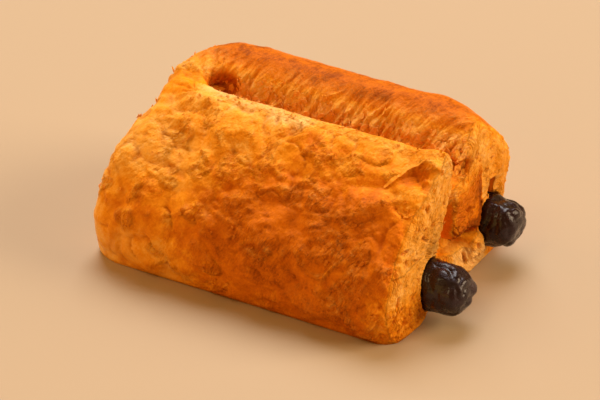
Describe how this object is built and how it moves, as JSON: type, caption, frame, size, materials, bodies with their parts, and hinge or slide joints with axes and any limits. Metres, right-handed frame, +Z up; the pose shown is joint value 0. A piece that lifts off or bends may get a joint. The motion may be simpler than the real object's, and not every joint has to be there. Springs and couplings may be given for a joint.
{
  "type": "pain au chocolat",
  "caption": "Baked laminated pastry with a leaning front fold and a back fold beside a groove, wrapped round dark chocolate batons that swell out at one end.",
  "frame": {"origin": "on the resting face, under the middle of the whole pastry", "axes": "+X along the batons to the end where the chocolate swells out, -Y to the leaning front fold, +Z up"},
  "size_m": [0.1194, 0.0788, 0.0517],
  "materials": {
    "golden_crust": "satin egg-washed crust",
    "dark_chocolate": "glossy, softly wrinkled"
  },
  "bodies": {
    "root": {"pastry_dough": "golden_crust", "front_chocolate_baton": "dark_chocolate", "back_chocolate_baton": "dark_chocolate"}
  },
  "joints": []
}
